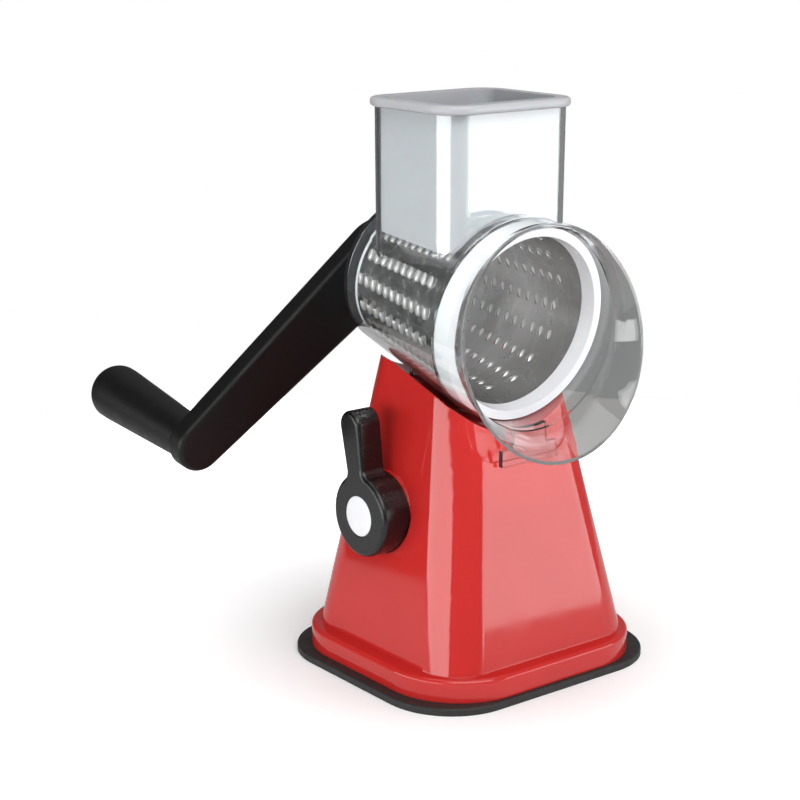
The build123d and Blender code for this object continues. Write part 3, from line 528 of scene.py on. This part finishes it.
def make_tooth(drum):
    """One scoop: round and flush at its root, arched, with a raised blunt point at its tip."""
    half = drum.tooth_width / 2
    begin()
    bpy.ops.mesh.primitive_uv_sphere_add(segments=10, ring_count=7, radius=half, rotation=(0, radians(90), 0))
    tooth = bpy.context.object
    tooth.name = "tooth"
    bpy.ops.object.transform_apply(location=True, rotation=True, scale=True)
    pick(tooth, "FACE", lambda f: f.normal.z < 0)
    bpy.ops.mesh.delete(type="FACE")
    stretch = (drum.tooth_length - half) / half
    pick(tooth, "VERT", lambda v: v.co.x > 0.05 * half)
    bpy.ops.transform.resize(value=(stretch, 1, 1), center_override=(0, 0, 0))
    pick(tooth, "VERT", lambda v: True)
    bpy.ops.transform.resize(value=(1, 1, drum.arch_height / half), center_override=(0, 0, 0))
    lift = atan2(drum.tooth_height, drum.tooth_length)
    bpy.ops.transform.rotate(value=lift, orient_axis="Y", center_override=(-half, 0, 0))
    bpy.ops.object.mode_set(mode="OBJECT")
    apply_modifier(tooth, "SOLIDIFY", thickness=TOOTH_STEEL, offset=-1)
    bpy.ops.object.shade_smooth()
    return tooth


def copies(pattern, places, name):
    """A copy of the pattern, with its own mesh, at each place, joined into one piece."""
    made = []
    for matrix in places:
        copy = pattern.copy()
        copy.data = pattern.data.copy()
        bpy.context.collection.objects.link(copy)
        copy.matrix_world = matrix
        made.append(copy)
    bpy.data.objects.remove(pattern)
    joined = join(made, name)
    bpy.ops.object.transform_apply(location=True, rotation=True, scale=True)
    return joined


def hole_cutter(drum):
    """Oval post that cuts the hole under one tooth."""
    begin()
    centre = (drum.tooth_length - drum.tooth_width) / 2
    bpy.ops.mesh.primitive_cylinder_add(
        vertices=16, radius=0.5, depth=8 * drum.thickness, location=(centre, 0, 0)
    )
    cutter = bpy.context.object
    cutter.scale = (HOLE_LENGTH_SHARE * drum.tooth_length, HOLE_WIDTH_SHARE * drum.tooth_width, 1)
    bpy.ops.object.transform_apply(location=True, rotation=True, scale=True)
    return cutter


def seam_strip(drum):
    """Lap of the sheet's end inside the drum."""
    start = drum.start + SEAM_FRONT_MARGIN
    end = drum.end - SEAM_REAR_MARGIN
    inner = drum.thickness
    strip = cone_wall(
        "drum_seam", sheet_radius(drum, start) - inner, sheet_radius(drum, end) - inner, start, end
    )
    middle = Vector((-sin(drum.seam_angle), -cos(drum.seam_angle), 0))
    reach = drum.seam_width / 2 / drum.front_radius

    def away(face):
        flat = Vector((face.center.x, face.center.y, 0))
        return flat.angle(middle) > reach

    pick(strip, "FACE", away)
    bpy.ops.mesh.delete(type="FACE")
    bpy.ops.object.mode_set(mode="OBJECT")
    apply_modifier(strip, "SOLIDIFY", thickness=drum.thickness, offset=1)
    return strip


class GRATER_OT_drum(bpy.types.Operator):
    """Perforates the steel sheet and sets its teeth"""
    bl_idname = "grater.drum"
    bl_label = "Steel drum"

    def execute(self, context):
        drum = context.scene.grater_drum
        sheet = cone_wall("drum_steel_sheet", drum.front_radius, drum.rear_radius, drum.start, drum.end)
        apply_modifier(sheet, "SOLIDIFY", thickness=drum.thickness, offset=1)
        cutters = copies(hole_cutter(drum), tooth_places(drum), "cutters")
        apply_modifier(sheet, "BOOLEAN", operation="DIFFERENCE", object=cutters, solver="EXACT")
        bpy.data.objects.remove(cutters)
        sheet = join([sheet, seam_strip(drum)], "drum_steel_sheet")
        only(sheet)
        bpy.ops.object.shade_smooth_by_angle(angle=radians(30))
        teeth = copies(make_tooth(drum), tooth_places(drum), "drum_teeth")
        # The teeth's steel is painted paler than the sheet's as a painted highlight; its higher roughness is
        # real.
        frosted_and_highlighted = torn_stainless_painted_highlight(context.scene.grater_colours)
        for piece, material in ((sheet, bpy.data.materials["stamped_stainless"]), (teeth, frosted_and_highlighted)):
            place(piece, drum_frame())
            complete(piece, material, "drum", "drum_steel", "drum_sheet")
        return {"FINISHED"}


# --------------------------------------------------------------- small trim

def button(name, radius, thickness, dome, rim):
    """Round cap with a rolled rim and a slightly domed face, its face towards +Z at z 0."""
    begin()
    bpy.ops.mesh.primitive_cylinder_add(
        vertices=72, radius=radius, depth=thickness, location=(0, 0, -thickness / 2)
    )
    cap = bpy.context.object
    cap.name = name
    bpy.ops.object.transform_apply(location=True, rotation=True, scale=True)
    pick(cap, "FACE", lambda f: f.normal.z > 0.9)
    bpy.ops.mesh.bevel(offset=rim, segments=3, affect="EDGES")
    pick(cap, "FACE", lambda f: f.normal.z > 0.9 and f.area > radius * radius)
    bpy.ops.mesh.inset(thickness=radius * 0.5)
    bpy.ops.transform.translate(value=(0, 0, dome * 0.7))
    bpy.ops.mesh.inset(thickness=radius * 0.25)
    bpy.ops.transform.translate(value=(0, 0, dome * 0.3))
    tidy_mesh(cap, 35)
    return cap


class GRATER_OT_caps(bpy.types.Operator):
    """Makes the white lever cap and the cap in the grip's end"""
    bl_idname = "grater.caps"
    bl_label = "Caps"

    def execute(self, context):
        low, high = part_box("lever_cap")
        centre = (low + high) / 2
        thickness = high.x - low.x
        radius = (high.y - low.y) / 2 - 0.1 * MM
        cap = button("lever_button", radius, thickness, 0.25 * MM, 0.45 * MM)
        face_left = Matrix.Translation((low.x, centre.y, centre.z)) @ Matrix.Rotation(radians(-90), 4, "Y")
        place(cap, face_left)
        complete(cap, bpy.data.materials["white_abs"], "lever", "white_plastic", "lever_cap")

        low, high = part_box("grip_cap")
        radius = (high.x - low.x) / 2
        thickness = ((high.y - low.y) - 2 * radius * sin(DRUM_TILT)) / cos(DRUM_TILT)
        end = (low + high) / 2 + DRUM_AXIS * (thickness / 2 - 0.2 * MM)
        plug = button("grip_plug", radius - 0.15 * MM, thickness - 0.3 * MM, 0.15 * MM, 0.5 * MM)
        place(plug, Matrix.Translation(end) @ FACING_REAR)
        complete(plug, bpy.data.materials["black_abs"], "grip", "black_plastic", "grip_cap")
        return {"FINISHED"}


def cut_cross(head, head_radius):
    """Cuts a cross slot into a screw head whose face is at z 0."""
    begin()
    bpy.ops.mesh.primitive_cube_add(size=1)
    bar = bpy.context.object
    bar.scale = (SLOT_LENGTH_SHARE * head_radius, SLOT_WIDTH_SHARE * head_radius, 2 * SLOT_DEPTH)
    bpy.ops.object.transform_apply(location=False, rotation=False, scale=True)
    crossbar = bar.copy()
    crossbar.data = bar.data.copy()
    bpy.context.collection.objects.link(crossbar)
    place(crossbar, Matrix.Rotation(radians(90), 4, "Z"))
    for cutter in (bar, crossbar):
        apply_modifier(head, "BOOLEAN", operation="DIFFERENCE", object=cutter, solver="EXACT")
        bpy.data.objects.remove(cutter)


class GRATER_OT_screw(bpy.types.Operator):
    """Makes the cross-head screw that holds the crank on its shaft"""
    bl_idname = "grater.screw"
    bl_label = "Crank screw"

    def execute(self, context):
        low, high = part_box("crank_screw")
        head_radius = (high.x - low.x) / 2
        head = button("crank_screw_head", head_radius - 0.05 * MM, SCREW_HEAD_HEIGHT, 0.0, 0.6 * MM)
        cut_cross(head, head_radius)
        begin()
        bpy.ops.mesh.primitive_cylinder_add(
            vertices=24, radius=SHANK_RADIUS, depth=SHANK_LENGTH,
            location=(0, 0, -SHANK_LENGTH / 2 - SHANK_TOP),
        )
        shank = bpy.context.object
        bpy.ops.object.transform_apply(location=True, rotation=True, scale=True)
        screw = join([head, shank], "crank_screw_cross")
        rear_face = DRUM_MOUTH + DRUM_AXIS * SCREW_FACE_DEPTH
        place(screw, Matrix.Translation(rear_face) @ FACING_REAR)
        only(screw)
        bpy.ops.object.shade_smooth_by_angle(angle=radians(30))
        complete(screw, bpy.data.materials["zinc_plated_steel"], "crank", "screw_steel", "crank_screw")
        return {"FINISHED"}


# -------------------------------------------------------------------- stage

def soft_box(name, place_at, aim, width, height, power):
    """Rectangular area light aimed at a point."""
    light = bpy.data.lights.new(name, "AREA")
    light.shape = "RECTANGLE"
    light.size = width
    light.size_y = height
    light.energy = power
    lamp = bpy.data.objects.new(name, light)
    bpy.context.collection.objects.link(lamp)
    lamp.location = place_at
    lamp.rotation_mode = "QUATERNION"
    lamp.rotation_quaternion = (Vector(aim) - Vector(place_at)).to_track_quat("-Z", "Y")


def floor_material():
    """Pale matt board: white to the camera away from the object; seen through clear plastic it shows a
    painted shade, a fixed grey glow.
    """
    material, tree, shader, coords = new_material("pale_board", Roughness=0.9)
    cloud = mottle(tree, coords, 150, 0.0, 1.0)
    tree.links.new(shade(tree, linear("fafafa"), cloud, 0.985), shader.inputs["Base Color"])
    from_object = add_node(tree, "ShaderNodeVectorMath", operation="LENGTH", links={0: coords})
    fade = add_node(
        tree, "ShaderNodeMapRange",
        values={"From Min": 0.05, "From Max": 0.3, "To Min": 0.0, "To Max": 1.0},
        links={"Value": from_object.outputs["Value"]},
    )
    sight = add_node(tree, "ShaderNodeLightPath")
    glow = add_node(
        tree, "ShaderNodeMath", operation="MULTIPLY",
        links={0: fade.outputs["Result"], 1: sight.outputs["Is Camera Ray"]},
    )
    tree.links.new(glow.outputs["Value"], shader.inputs["Emission Strength"])
    shader.inputs["Emission Color"].default_value = (1, 1, 1, 1)
    # Painted shade: through clear plastic the floor glows a fixed grey instead of taking its light from the
    # lamps.
    painted_shade_behind_clear = add_node(tree, "ShaderNodeEmission", values={"Color": (0.34, 0.33, 0.32, 1)})
    finish_with_mix(tree, sight.outputs["Is Transmission Ray"], shader, painted_shade_behind_clear.outputs["Emission"])
    return material


def studio_world(scene):
    """White where the camera looks; a dim room, dimmest behind the lever side, for all other light."""
    world = bpy.data.worlds.new("studio")
    scene.world = world
    world.use_nodes = True
    tree = world.node_tree
    tree.nodes.clear()
    sight = add_node(tree, "ShaderNodeLightPath")
    coords = add_node(tree, "ShaderNodeTexCoord")
    facing = add_node(
        tree, "ShaderNodeVectorMath", operation="DOT_PRODUCT", links={0: coords.outputs["Generated"]}
    )
    facing.inputs[1].default_value = (-0.62, 0.78, 0.0)
    dim = add_node(
        tree, "ShaderNodeMapRange",
        values={"From Min": 0.1, "From Max": 0.85, "To Min": 0.24, "To Max": 0.05},
        links={"Value": facing.outputs["Value"]},
    )
    strength = add_node(
        tree, "ShaderNodeMix",
        data_type="FLOAT", links={"Factor": sight.outputs["Is Camera Ray"], "A": dim.outputs["Result"]},
    )
    strength.inputs["B"].default_value = 1.0
    background = add_node(
        tree, "ShaderNodeBackground",
        values={"Color": (1, 1, 1, 1)}, links={"Strength": strength.outputs["Result"]},
    )
    add_node(tree, "ShaderNodeOutputWorld", links={"Surface": background.outputs["Background"]})


class GRATER_OT_stage(bpy.types.Operator):
    """Lays the floor and sets the lights and the camera"""
    bl_idname = "grater.stage"
    bl_label = "Floor, lights and camera"

    def execute(self, context):
        scene = context.scene
        settings = scene.grater_stage
        begin()
        bpy.ops.mesh.primitive_circle_add(vertices=128, radius=0.55, fill_type="NGON")
        floor = context.object
        floor.name = "studio_floor"
        floor.data.materials.append(floor_material())

        aim = (0, 0, 0.14)
        soft_box("key_box", (1.16, -1.22, 0.1), aim, 1.0, 0.9, settings.key_power)
        soft_box("side_box", (-1.3, 0.17, 0.16), (0.0, 0.17, 0.14), 1.9, 0.46, settings.side_power)
        soft_box("front_box", (-0.35, -1.05, 1.25), aim, 1.6, 1.1, settings.front_power)
        soft_box("top_box", (0.2, 0.1, 1.9), aim, 1.6, 1.6, settings.top_power)
        studio_world(scene)

        view = bpy.data.cameras.new("camera")
        view.sensor_width = 36
        view.lens = settings.focal_length
        camera = bpy.data.objects.new("camera", view)
        context.collection.objects.link(camera)
        camera.location = settings.camera_place
        look = Vector(settings.camera_target) - Vector(settings.camera_place)
        camera.rotation_mode = "QUATERNION"
        camera.rotation_quaternion = look.to_track_quat("-Z", "Y")
        scene.camera = camera
        scene.view_settings.view_transform = "Standard"
        return {"FINISHED"}


# ------------------------------------------------------------------- add-on

class GRATER_PT_panel(bpy.types.Panel):
    """Sizes, colours and steps of the grater"""
    bl_idname = "GRATER_PT_panel"
    bl_label = "Rotary grater"
    bl_space_type = "VIEW_3D"
    bl_region_type = "UI"
    bl_category = "Grater"

    def draw(self, context):
        for step in OPERATORS:
            self.layout.operator(step.bl_idname)
        for group_name in SETTINGS:
            group = getattr(context.scene, group_name)
            for name in group.__annotations__:
                self.layout.prop(group, name)


OPERATORS = [GRATER_OT_stage, GRATER_OT_finishes, GRATER_OT_drum, GRATER_OT_caps, GRATER_OT_screw]
SETTINGS = {
    "grater_drum": GraterDrumSettings,
    "grater_colours": GraterColours,
    "grater_stage": GraterStageSettings,
}
CLASSES = [*SETTINGS.values(), *OPERATORS, GRATER_PT_panel]


def register():
    for made in CLASSES:
        bpy.utils.register_class(made)
    for name, group in SETTINGS.items():
        setattr(bpy.types.Scene, name, PointerProperty(type=group))


def unregister():
    for name in SETTINGS:
        delattr(bpy.types.Scene, name)
    for made in reversed(CLASSES):
        bpy.utils.unregister_class(made)


def main():
    """Runs every step."""
    register()
    bpy.ops.grater.stage()
    bpy.ops.grater.finishes()
    bpy.ops.grater.drum()
    bpy.ops.grater.caps()
    bpy.ops.grater.screw()


if __name__ == "__main__":
    main()
